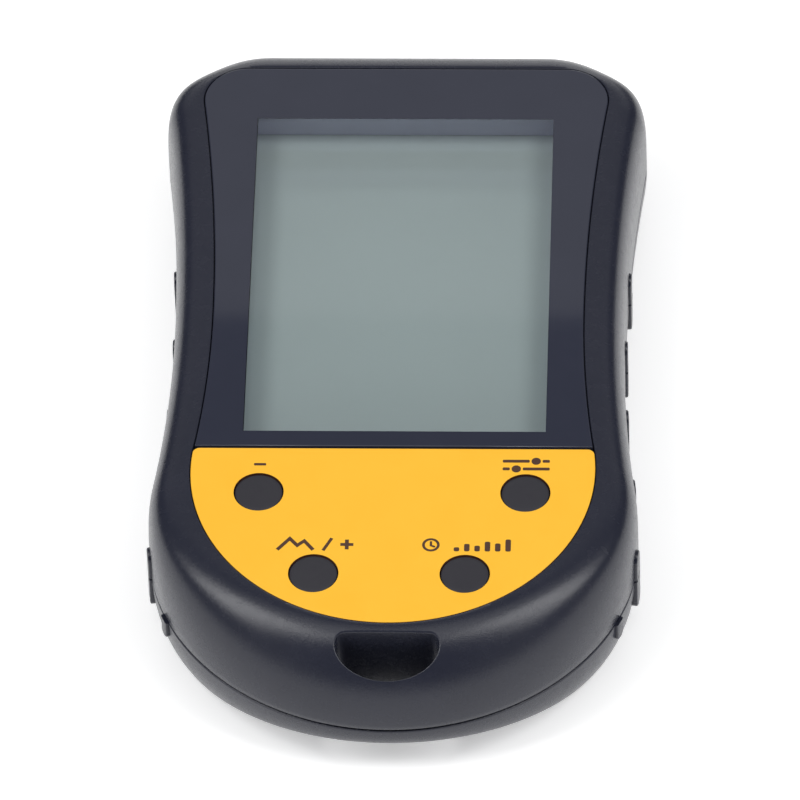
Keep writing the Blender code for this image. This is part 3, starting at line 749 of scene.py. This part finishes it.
def make_case_back():
    high_z = PARTING_Z - PARTING_GAP / 2
    rings = floor_rings(back_round, 0)
    for step in range(BACK_STEPS, -1, -1):
        z = BACK_ROUND_HEIGHT * (1 - sin(radians(90 * step / BACK_STEPS)))
        rings.append(swept_ring(back_inset(z), z))
    rings.append(level(OUTLINE, high_z - EDGE_ROUND))
    rings.append(level(inset(OUTLINE, MIDDLE * EDGE_ROUND), high_z - MIDDLE * EDGE_ROUND))
    rings.append(level(inset(OUTLINE, EDGE_ROUND), high_z))
    rings.append(level(inset(OUTLINE, TONGUE[0]), high_z))
    rings.append(level(inset(OUTLINE, TONGUE[0]), TONGUE[2]))
    case = loft("case_back", rings, SHELL)

    rings = []
    for z in REAR_ROOM_Z:
        amount = rear_room_inset(z)
        if not rings:
            rings = floor_rings(amount, z, WALL)
        rings.append(swept_ring(amount, z, WALL))
    rings.append(level(inset(OUTLINE, WALL), high_z))
    rings.append(level(inset(OUTLINE, TONGUE[1]), high_z))
    rings.append(level(inset(OUTLINE, TONGUE[1]), TONGUE[2] + 1))
    room = loft("rear_room", rings)
    cut(
        room,
        slab("slot_tube", slot_outline(SLOT_WALL), BELOW, THICKNESS),
        *(post(f"boss_{k}", *at, BOSS_RADIUS, BELOW, THICKNESS) for k, at in CASE_SCREWS.items()),
    )
    cut(case, room)
    block = rounded(bay_outline(BAY_WALL), BAY_CORNER)
    join(case, slab("bay_block", block, BAY_BLOCK_Z, BAY_ROOF_Z + BAY_WALL))
    cutters = [
        slab("bay_room", bay_outline(0), BELOW, BAY_ROOF_Z),
        slab("door_room", rounded(bay_outline(DOOR_LEDGE), DOOR_CORNER), BELOW, WALL),
        slot_cutter("slot"),
        post("vent", 0, VENT_Y, VENT_RADIUS, BELOW, VENT_TOP_Z),
    ]
    for x in (-LUG_X, LUG_X):
        half = LUG_LENGTH / 2 + LUG_ROOM["side"]
        low = (x - half, BAY_Y[1] - LUG_ROOM["root"], BELOW)
        high = (x + half, HINGE_Y + LUG_ROOM["past"], LUG_ROOM["top_z"])
        cutters.append(box(f"lug_room_{x}", low, high))
        cutters.append(rod(f"pin_socket_{x}", x, SOCKET_RADIUS, SOCKET_LENGTH))
    for k, at in CASE_SCREWS.items():
        bore, depth = COUNTERBORE
        cutters.append(post(f"pilot_{k}", *at, PILOT_RADIUS, BELOW, THICKNESS, steps=24))
        cutters.append(post(f"counterbore_{k}", *at, bore, BELOW, depth))
    cut(case, *cutters)
    join(case, ribs("rear_ribs", RIB_BOTTOM, high_z))
    join(case, ribs("short_ribs", REAR_RIB_BOTTOM, high_z, [REAR_RIB_Y], REAR_RIB_WIDTH))
    shade(case)
    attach(case, "case")
    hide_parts("rear_shell")


# The front


def side_faces(obj, slot):
    """The faces that don't look straight up or down take another material slot."""
    for face in obj.data.polygons:
        if abs(face.normal.z) < SLANTED_NORMAL:
            face.material_index = slot


def plate_rings(outline, flat_z, round_z, soft):
    """The rings of a plate, from its sharp-edged face to the one with the rounded edge."""
    way = 1 if round_z > flat_z else -1
    rings = [level(outline, flat_z)]
    for turn in EDGE_TURNS:
        ring = inset(outline, soft * (1 - cos(radians(turn))))
        rings.append(level(ring, round_z - way * soft * (1 - sin(radians(turn)))))
    return rings


def border_faces(obj, slot):
    """Cuts the top face along the clear opening; outside it, it takes another material slot."""
    bm = bmesh.new()
    bm.from_mesh(obj.data)
    top_z = THICKNESS - TOP_BAND
    edges = [((way * OPENING_HALF * MM, 0, 0), (way, 0, 0)) for way in (-1, 1)]
    edges += [((0, y * MM, 0), (0, 1, 0)) for y in OPENING_Y]
    for point, normal in edges:
        upward = [f for f in bm.faces if f.normal.z > UPWARD_NORMAL]
        top = [f for f in upward if f.calc_center_median().z > top_z * MM]
        around = list({e for f in top for e in f.edges} | {v for f in top for v in f.verts}) + top
        bmesh.ops.bisect_plane(
            bm, geom=around, plane_co=point, plane_no=normal, dist=BISECT_DISTANCE
        )
    for face in bm.faces:
        x, y, z = (value / MM for value in face.calc_center_median())
        inside = abs(x) < OPENING_HALF and OPENING_Y[0] < y < OPENING_Y[1]
        if z > top_z and not inside:
            face.material_index = slot
    bm.to_mesh(obj.data)
    bm.free()


def make_window():
    rings = plate_rings(window_outline(-SEAM / 2), WINDOW_BOTTOM_Z, THICKNESS, WINDOW_EDGE)
    pane = loft("window_pane", rings, PANE, BORDER, PANE_BACK)
    side_faces(pane, 1)
    border_faces(pane, 1)
    for face in pane.data.polygons:
        if face.normal.z < -SLANTED_NORMAL:
            face.material_index = 2
    shade(pane)
    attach(pane, "case")
    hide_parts("display_window")

    low_z, high_z = WINDOW_SEAT_Z + TAPE_GAP, WINDOW_BOTTOM_Z - TAPE_GAP
    border = slab("window_border", window_outline(-TAPE_INSET), low_z, high_z, INK)
    cut(border, slab("border_opening", rectangle(TAPE_HALF, *TAPE_Y), DEEP_Z, ABOVE))
    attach(border, "case")
    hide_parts("window_tape")


def make_screen():
    fit = SCREEN_FIT
    wall = rectangle(SCREEN_HALF - fit, SCREEN_Y[0] + fit, SCREEN_Y[1] - fit)
    foot, inner = inset(wall, -SCREEN_LEDGE), inset(wall, SCREEN_FRAME_WALL)
    low_z, high_z = SCREEN_TOP_Z + fit, WINDOW_SEAT_Z
    rings = [
        level(foot, low_z),
        level(foot, SCREEN_LEDGE_Z),
        level(wall, SCREEN_LEDGE_Z),
        level(wall, high_z),
        level(inner, high_z),
        level(inner, low_z),
    ]
    # The frame's pale colour is painted light on the shaded wall of the screen well
    frame_piece = loft("screen_frame", rings, BEZEL_PAINTED_LIGHT, closed=True)
    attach(frame_piece, "case")

    outline = rounded(rectangle(GLASS_HALF, *GLASS_Y), GLASS_CORNER)
    rings = plate_rings(outline, SCREEN_TOP_Z - GLASS_DEPTH, SCREEN_TOP_Z, GLASS_EDGE)
    glass = loft("screen_glass", rings, LCD)
    shade(glass)
    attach(glass, "case")
    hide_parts("lcd_panel")


def make_panel():
    rings = plate_rings(panel_outline(-SEAM / 2), *PANEL_Z, PANEL_EDGE)
    plate = loft("panel_plate", rings, YELLOW, EDGE_BROWN)
    holes = []
    for k, at in KEYS.items():
        holes.append(post(f"hole_{k}", *at, KEY_HOLE_RADIUS, DEEP_Z, ABOVE, steps=96))
    cut(plate, *holes)
    side_faces(plate, 1)
    shade(plate)
    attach(plate, "case")
    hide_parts("key_panel")


def make_keys():
    top = KEY_TOP_Z - KEY_BOTTOM_Z
    edge_z, root_z = KEY_FLANGE_Z
    profile = [(0, 0), (KEY_FLANGE_RADIUS, 0), (KEY_FLANGE_RADIUS, edge_z), (KEY_RADIUS, root_z)]
    profile.append((KEY_RADIUS, top - KEY_WALL_DROP))
    for turn in KEY_EDGE_TURNS:
        a = radians(turn)
        edge = (KEY_RADIUS - KEY_EDGE * (1 - cos(a)), top - KEY_EDGE_DROP + KEY_EDGE * sin(a))
        profile.append(edge)
    for share in (0.8, 0.6, 0.4, 0.2, 0):
        profile.append((KEY_RADIUS * share, top - KEY_CROWN * share**2))
    for name, (x, y) in KEYS.items():
        cap = turned(f"key_cap_{name}", profile, (x, y, KEY_BOTTOM_Z), KEY, steps=96)
        shade(cap, angle=50)
        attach(cap, f"key_{name}")
        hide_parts(f"key_{name}")


# The printed symbols: closed outlines, raised by the thickness of the ink


def stroke(points, width):
    """The outline of a line of even width along open points, with mitred joints and square ends."""
    left, right = [], []
    for i, point in enumerate(points):
        here = Vector(point)
        before = (here - Vector(points[i - 1])).normalized() if i else None
        after = (Vector(points[i + 1]) - here).normalized() if i < len(points) - 1 else None
        way = ((before or after) + (after or before)).normalized()
        share = max(MITRE_LIMIT, way.dot(before or after))
        across = Vector((-way.y, way.x)) * (width / 2 / share)
        left.append(tuple(here + across))
        right.append(tuple(here - across))
    return left + right[::-1]


def cross(x, y, arm, width):
    w = width / 2
    quarter = [(arm, -w), (arm, w), (w, w)]
    points = []
    for k in range(4):
        c, s = round(cos(k * pi / 2)), round(sin(k * pi / 2))
        points += [(x + px * c - py * s, y + px * s + py * c) for px, py in quarter]
    return points


def bar(x0, y0, x1, y1):
    corner = BAR_CORNER * min(abs(x1 - x0), abs(y1 - y0))
    return rounded([(x0, y0), (x1, y0), (x1, y1), (x0, y1)], corner, steps=3)


def moved(points, at):
    return [(at[0] + x, at[1] + y) for x, y in points]


def symbols():
    """Outlines: minus; two sliders; peaks, a slash and a plus; a bar chart and a clock's hands."""
    half = INK_WIDTH / 2
    shapes = [bar(*MINUS)]
    (x, y), gap = SLIDERS_AT, SLIDERS["gap"]
    for way in (1, -1):
        row, knob_x = y + way * SLIDERS["rise"], x + way * SLIDERS["knob_x"]
        shapes.append(bar(x - SLIDERS["half"], row - half, knob_x - gap, row + half))
        shapes.append(bar(knob_x + gap, row - half, x + SLIDERS["half"], row + half))
        shapes.append(arc((knob_x, row), SLIDERS["knob"], 0, 2 * pi, steps=28))
    shapes.append(stroke(moved(PEAKS, PEAKS_AT), INK_WIDTH))
    shapes.append(stroke(moved(SLASH, PEAKS_AT), INK_WIDTH * SLASH_SHARE))
    shapes.append(cross(PEAKS_AT[0] + PLUS[0], PEAKS_AT[1], PLUS[1], INK_WIDTH))
    for k, height in enumerate(CHART_HEIGHTS):
        left, foot = CHART_AT[0] + CHART["x"] + CHART["pitch"] * k, CHART_AT[1] + CHART["y"]
        shapes.append(bar(left, foot, left + CHART["width"], foot + height))
    shapes.append(stroke(moved(CLOCK_HANDS, CLOCK_AT), CLOCK_HAND_WIDTH))
    return shapes


def make_symbols():
    """All the symbols in one piece, with the clock's ring."""
    bm = bmesh.new()
    low, high = PANEL_Z[1] - INK_Z[0], PANEL_Z[1] + INK_Z[1]
    for outline in symbols():
        add_solid(bm, [level(outline, low), level(outline, high)])
    inner, outer = (arc(CLOCK_AT, radius, 0, 2 * pi, steps=40) for radius in CLOCK_RADII)
    rings = [level(outer, low), level(outer, high), level(inner, high), level(inner, low)]
    add_solid(bm, rings, closed=True)
    piece = finished("panel_symbols", bm, PRINT)
    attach(piece, "case")


# The back


def make_door():
    low_z, high_z = DOOR_Z
    hinge_edge = BAY_Y[1] + DOOR_LEDGE - DOOR_HINGE_GAP
    edges = bay_outline(DOOR_LEDGE - DOOR_GAP)
    outline = rounded([(x, min(y, hinge_edge)) for x, y in edges], DOOR_CORNER)
    door = loft("door_cover", plate_rings(outline, high_z, low_z, DOOR_EDGE)[::-1], SHELL)
    parts = []
    for x in (-LUG_X, LUG_X):
        low = (x - LUG_LENGTH / 2, hinge_edge - LUG["root"], low_z + LUG["low"])
        high = (x + LUG_LENGTH / 2, HINGE_Y + LUG["past"], high_z - LUG["high"])
        parts.append(box(f"lug_{x}", low, high))
        parts.append(rod(f"pin_{x}", x, PIN_RADIUS, PIN_LENGTH))
    join(door, *parts)
    y = GRIP["y"]
    turns = [2 * pi * i / GRIP_STEPS for i in range(GRIP_STEPS)]
    scoop = [(GRIP["half_x"] * cos(a), y + GRIP["half_y"] * sin(a)) for a in turns]
    below, wider = GRIP_MOUTH
    rings = [level(inset(scoop, -wider), low_z - below)]
    rings.append(level(inset(scoop, GRIP["taper"]), low_z + GRIP["depth"]))
    cut(door, loft("scoop", rings))
    ridges = []
    half = RIDGE["half"]
    for k in range(-2, 3):
        x = k * RIDGE["pitch"]
        reach = RIDGE["end_reach"] if abs(k) == 2 else RIDGE["reach"]
        low_y, high_y = y - reach, y + reach
        corners = [(x - half, low_y), (x + half, low_y), (x + half, high_y), (x - half, high_y)]
        path = rounded(corners, RIDGE["corner"], steps=4)
        ridges.append(slab(f"ridge_{k}", path, low_z + RIDGE_Z[0], low_z + RIDGE_Z[1]))
    join(door, *ridges)
    shade(door)
    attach(door, "battery_door")
    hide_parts("battery_door")


def make_case_screws():
    low_z, head, shank, head_height, length = 1.4, 1.9, 0.85, 1.3, 11
    arm, narrow, depth = head * 0.62, 0.24, 0.75
    profile = [(0, 0), (head - 0.5, 0.02), (head - 0.25, 0.1), (head - 0.08, 0.25), (head, 0.45)]
    profile += [(head, head_height), (shank, head_height), (shank, head_height + length - 0.4)]
    profile += [(shank - 0.25, head_height + length), (0, head_height + length)]
    for k, (x, y) in CASE_SCREWS.items():
        screw = turned(f"screw_{k}", profile, (x, y, low_z), SCREW_METAL, steps=48)
        mouth, tip = cross(x, y, arm, 2 * narrow), cross(x, y, arm * 0.45, narrow)
        rings = [level(mouth, low_z - 0.5), level(mouth, low_z + 0.1), level(tip, low_z + depth)]
        cut(screw, loft(f"cross_{k}", rings))
        shade(screw)
        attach(screw, "case")
        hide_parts(f"case_screw_{k}")


def make_cells():
    half, nub, r = CELL_LENGTH / 2, 1.0, CELL_RADIUS
    profile = [(0, -half), (r - 0.9, -half), (r - 0.6, -half + 0.15), (r - 0.25, -half + 0.2)]
    profile += [(r, -half + 0.5), (r, half - 9), (r, half - nub - 0.7)]
    profile += [(r - 0.25, half - nub - 0.3), (r - 0.7, half - nub - 0.2)]
    profile += [(r - 1.1, half - nub - 0.35), (1.95, half - nub - 0.2)]
    profile += [(1.9, half - 0.3), (1.6, half), (0, half)]
    slots = [2, 2, 2, 0, 0, 1, 1, 1, 2, 2, 2, 2, 2]
    looks = (SLEEVE, SLEEVE_BAND, STEEL)
    for name, way in (("near", "X"), ("far", "-X")):
        at = (0, CELL_Y[name], CELL_Z)
        cell = turned(f"cell_{name}", profile, at, *looks, along=way, slots=slots)
        shade(cell, angle=40)
        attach(cell, "case")
        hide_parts(f"battery_{name}")


# Materials: sizes in millimetres, colours linear

GLOSS_BLOTCH = 0.25  # of the size of a surface's blotches
LINT = {"spacing": 13.0, "reach": 0.4, "shares": (0.004, 0.009), "colour": (0.35, 0.36, 0.38)}
ACRYLIC = {"tint": (0.97, 0.98, 0.985, 1), "rough": (0.02, 0.03), "blotch": 9.0, "ior": 1.49}
BACK_MIRROR = (0.036, 0.044)  # what share of the light the pane's back face mirrors


def material(name):
    made = bpy.data.materials.new(name)
    made.use_nodes = True
    tree = made.node_tree
    tree.nodes.clear()
    return made, tree


def add(tree, kind, **inputs):
    """A node of that kind with its properties and inputs set by name; a socket is linked."""
    node = tree.nodes.new(kind)
    for key, value in inputs.items():
        if hasattr(node, key):
            setattr(node, key, value)
            continue
        socket = node.inputs[key]
        if isinstance(value, bpy.types.NodeSocket):
            tree.links.new(value, socket)
        else:
            socket.default_value = value
    return node


def grain(tree, size, detail=2.0, rough=0.5):
    """Noise with features of about that size in millimetres, from the object's own coordinates."""
    where = add(tree, "ShaderNodeTexCoord").outputs["Object"]
    looks = {"Scale": 1000 / size, "Detail": detail, "Roughness": rough}
    return add(tree, "ShaderNodeTexNoise", Vector=where, **looks).outputs["Fac"]


def remap(tree, value, low, high, start=0.3, end=0.7):
    node = add(tree, "ShaderNodeMapRange", Value=value)
    for key, number in (("From Min", start), ("From Max", end), ("To Min", low), ("To Max", high)):
        node.inputs[key].default_value = number
    return node.outputs["Result"]


def blend_colour(tree, share, first, second):
    node = add(tree, "ShaderNodeMix", data_type="RGBA")
    tree.links.new(share, node.inputs["Factor"])
    for key, value in (("A", first), ("B", second)):
        socket = [s for s in node.inputs if s.name == key and s.type == "RGBA"][0]
        if isinstance(value, bpy.types.NodeSocket):
            tree.links.new(value, socket)
        else:
            socket.default_value = (*value, 1)
    return [s for s in node.outputs if s.type == "RGBA"][0]


def surface(
    name,
    colour,
    second,
    rough,
    blotch=6.0,
    texture=0.14,
    bump=0.02,
    metallic=0.0,
    specular=0.5,
    ior=1.5,
    glow=0.0,
    extra=None,
):
    """Two close tones in soft blotches, an uneven gloss between the two of rough, a fine grain."""
    made, tree = material(name)
    tone = blend_colour(tree, remap(tree, grain(tree, blotch, detail=3), 0, 1), colour, second)
    if extra:
        tone = extra(tree, tone)
    gloss = remap(tree, grain(tree, blotch * GLOSS_BLOTCH, detail=4), *rough)
    fine = grain(tree, texture)
    bumped = add(tree, "ShaderNodeBump", Height=fine, Strength=1.0, Distance=bump * MM)
    shader = add(tree, "ShaderNodeBsdfPrincipled", Roughness=gloss, Metallic=metallic, IOR=ior)
    tree.links.new(tone, shader.inputs["Base Color"])
    tree.links.new(bumped.outputs["Normal"], shader.inputs["Normal"])
    shader.inputs["Specular IOR Level"].default_value = specular
    if glow:
        tree.links.new(tone, shader.inputs["Emission Color"])
        shader.inputs["Emission Strength"].default_value = glow
    out = add(tree, "ShaderNodeOutputMaterial")
    tree.links.new(shader.outputs["BSDF"], out.inputs["Surface"])
    return made


def dust(tree, tone):
    """Sparse pale specks of lint."""
    where = add(tree, "ShaderNodeTexCoord").outputs["Object"]
    cells = add(tree, "ShaderNodeTexVoronoi", Vector=where, Scale=1000 / LINT["spacing"])
    near = remap(tree, cells.outputs["Distance"], LINT["reach"], 0.0, *LINT["shares"])
    return blend_colour(tree, near, tone, LINT["colour"])


def pane_material(name, back=False):
    """Clear acrylic, whose front mirrors more at grazing angles."""
    made, tree = material(name)
    clear = add(tree, "ShaderNodeBsdfTransparent", Color=ACRYLIC["tint"])
    rough = remap(tree, grain(tree, ACRYLIC["blotch"], detail=3), *ACRYLIC["rough"])
    gloss = add(tree, "ShaderNodeBsdfGlossy", Roughness=rough)
    if back:
        share = remap(tree, grain(tree, ACRYLIC["blotch"], detail=3), *BACK_MIRROR)
    else:
        share = add(tree, "ShaderNodeFresnel", IOR=ACRYLIC["ior"]).outputs["Fac"]
    mix = add(tree, "ShaderNodeMixShader")
    tree.links.new(share, mix.inputs["Fac"])
    tree.links.new(clear.outputs["BSDF"], mix.inputs[1])
    tree.links.new(gloss.outputs["BSDF"], mix.inputs[2])
    out = add(tree, "ShaderNodeOutputMaterial")
    tree.links.new(mix.outputs["Shader"], out.inputs["Surface"])
    return made


SHELL = surface(
    "shell_abs",
    (0.019, 0.021, 0.034),
    (0.021, 0.023, 0.037),
    (0.24, 0.29),
    specular=0.42,
    extra=dust,
)
# Grey plastic painted far paler and bluer than its own colour: painted light, so that the shaded
# wall of the screen well shows as a lit band
BEZEL_PAINTED_LIGHT = surface("screen_frame_painted_light", (0.56, 0.56, 0.70), (0.58, 0.58, 0.72), (0.5, 0.6))
INK = surface("border_ink", (0.014, 0.015, 0.020), (0.016, 0.017, 0.023), (0.4, 0.5), bump=0.004)
BORDER = surface(
    "glossy_border", (0.031, 0.034, 0.052), (0.033, 0.036, 0.055), (0.02, 0.03), bump=0.0001
)
LCD = surface(
    "unlit_crystal",
    (0.50, 0.57, 0.56),
    (0.51, 0.58, 0.57),
    (0.03, 0.04),
    blotch=14.0,
    bump=0.0002,
    specular=1.0,
    ior=1.9,
)
YELLOW = surface(
    "yellow_overlay",
    (0.99, 0.515, 0.028),
    (0.995, 0.53, 0.032),
    (0.45, 0.55),
    bump=0.004,
    specular=0.4,
)
EDGE_BROWN = surface("overlay_edge", (0.09, 0.03, 0.015), (0.12, 0.04, 0.02), (0.6, 0.7))
KEY = surface(
    "key_rubber", (0.019, 0.018, 0.025), (0.022, 0.021, 0.028), (0.6, 0.7), texture=0.1, bump=0.01
)
PRINT = surface("symbol_ink", (0.060, 0.024, 0.012), (0.075, 0.030, 0.015), (0.5, 0.6), bump=0.004)
STEEL = surface(
    "nickel_steel", (0.58, 0.58, 0.57), (0.66, 0.66, 0.65), (0.22, 0.38), metallic=1.0, bump=0.003
)
SCREW_METAL = surface(
    "black_steel", (0.10, 0.10, 0.11), (0.16, 0.16, 0.17), (0.3, 0.45), metallic=1.0
)
SLEEVE = surface("cell_sleeve", (0.02, 0.022, 0.028), (0.03, 0.032, 0.04), (0.2, 0.3), bump=0.004)
SLEEVE_BAND = surface(
    "cell_band", (0.55, 0.33, 0.13), (0.6, 0.37, 0.15), (0.25, 0.35), metallic=0.8, bump=0.003
)
PANE = pane_material("clear_acrylic")
PANE_BACK = pane_material("clear_acrylic_back", back=True)
INNER = {
    "board": surface(
        "solder_mask", (0.015, 0.10, 0.045), (0.02, 0.13, 0.06), (0.35, 0.45), blotch=2.0
    ),
    "chip": surface("chip_epoxy", (0.012, 0.012, 0.014), (0.02, 0.02, 0.022), (0.5, 0.6)),
    "film": surface("diffuser", (0.70, 0.73, 0.68), (0.76, 0.78, 0.73), (0.4, 0.5)),
    "steel": STEEL,
    "ceramic": surface("antenna_ceramic", (0.70, 0.66, 0.55), (0.78, 0.73, 0.61), (0.35, 0.45)),
    "rubber": surface("silicone", (0.04, 0.04, 0.045), (0.05, 0.05, 0.055), (0.65, 0.75)),
    "screw": SCREW_METAL,
    "switch": STEEL,
}


def dress_inner_nodes():
    """The CAD nodes that still show take the material of their slot in the record."""
    for part in frame["record"]["subparts"]:
        node = frame["nodes"].get(part["node"])
        if node and not node.hide_render:
            node.data.materials.clear()
            node.data.materials.append(INNER[part["material_slot"]])


# The studio

FLOOR_HALF = 1500
FLOOR_DROP = 0.05  # below the flat back, so that the two don't lie in one plane
WORLD_COLOUR = (0.9, 0.94, 1, 1)
WORLD_STRENGTH = 0.04
ORIGIN = (0, 0, 0)
LIGHTS = {  # width, height, place and target in metres, and power in watts
    "left_softbox": (0.6, 1.2, (-1.0, -0.3, 1.2), ORIGIN, 14.0),
    "right_softbox": (0.6, 1.2, (1.0, -0.3, 1.2), ORIGIN, 13.2),
    "top_softbox": (1.3, 1.3, (0, -0.1, 1.7), ORIGIN, 6.5),
    "far_softbox": (0.8, 0.8, (0, 1.55, 0.41), ORIGIN, 3),
    "front_left_softbox": (0.8, 0.8, (-1.09, -1.09, 0.41), ORIGIN, 0.4),
    "front_right_softbox": (0.8, 0.8, (1.09, -1.09, 0.41), ORIGIN, 0.4),
    "window_card": (1.6, 0.8, (0, 1.2, 0.93), (0, 0, 0.93), 1.8),
}
CAMERA_AT = (0.056633, -1.066999, 1.193352)
CAMERA_AZIMUTH = 3.036  # this and the next two in degrees
CAMERA_ELEVATION = 47.952
CAMERA_ROLL = -2.01
CAMERA_LENS = 537.3
CAMERA_SENSOR = 36
CAMERA_CLIP = (0.1, 20)


def make_floor():
    bm = bmesh.new()
    bmesh.ops.create_grid(bm, x_segments=8, y_segments=8, size=FLOOR_HALF)
    bmesh.ops.translate(bm, vec=(0, 0, -FLOOR_DROP), verts=bm.verts)
    pale = surface(
        "pale_floor",
        (0.93, 0.93, 0.93),
        (0.94, 0.94, 0.94),
        (0.8, 0.9),
        blotch=80,
        texture=3,
        bump=0.01,
        glow=0.42,
    )
    floor = finished("floor", bm, pale)


def make_light(name, width, height, at, target, power):
    lamp = bpy.data.lights.new(name, "AREA")
    lamp.shape = "RECTANGLE"
    lamp.size, lamp.size_y = width, height
    lamp.energy = power
    obj = bpy.data.objects.new(name, lamp)
    obj.location = at
    obj.rotation_euler = (Vector(target) - Vector(at)).to_track_quat("-Z", "Y").to_euler()
    bpy.context.scene.collection.objects.link(obj)


def make_studio():
    """Softboxes all round and above, and a dim card that the window mirrors in its far half."""
    make_floor()
    world = bpy.data.worlds.new("studio")
    world.use_nodes = True
    background = world.node_tree.nodes["Background"]
    background.inputs["Color"].default_value = WORLD_COLOUR
    background.inputs["Strength"].default_value = WORLD_STRENGTH
    bpy.context.scene.world = world
    for name, light in LIGHTS.items():
        make_light(name, *light)


def make_camera():
    """A long lens above the near end, a little to the right, with a slight roll."""
    azimuth, elevation = radians(CAMERA_AZIMUTH), radians(CAMERA_ELEVATION)
    roll = radians(CAMERA_ROLL)
    back = Vector((sin(azimuth) * cos(elevation), -cos(azimuth) * cos(elevation), sin(elevation)))
    right = (-back).cross(Vector((0, 0, 1))).normalized()
    up = right.cross(-back)
    across = cos(roll) * right + sin(roll) * up
    above = -sin(roll) * right + cos(roll) * up
    lens = bpy.data.cameras.new("camera")
    lens.lens, lens.sensor_width = CAMERA_LENS, CAMERA_SENSOR
    lens.clip_start, lens.clip_end = CAMERA_CLIP
    camera = bpy.data.objects.new("camera", lens)
    matrix = Matrix((across, above, back)).transposed().to_4x4()
    matrix.translation = CAMERA_AT
    camera.matrix_world = matrix
    bpy.context.scene.collection.objects.link(camera)
    bpy.context.scene.camera = camera
    bpy.context.scene.view_settings.view_transform = "Standard"


make_camera()
make_case_front()
make_case_back()
make_window()
make_screen()
make_panel()
make_keys()
make_symbols()
make_door()
make_case_screws()
make_cells()
dress_inner_nodes()
make_studio()
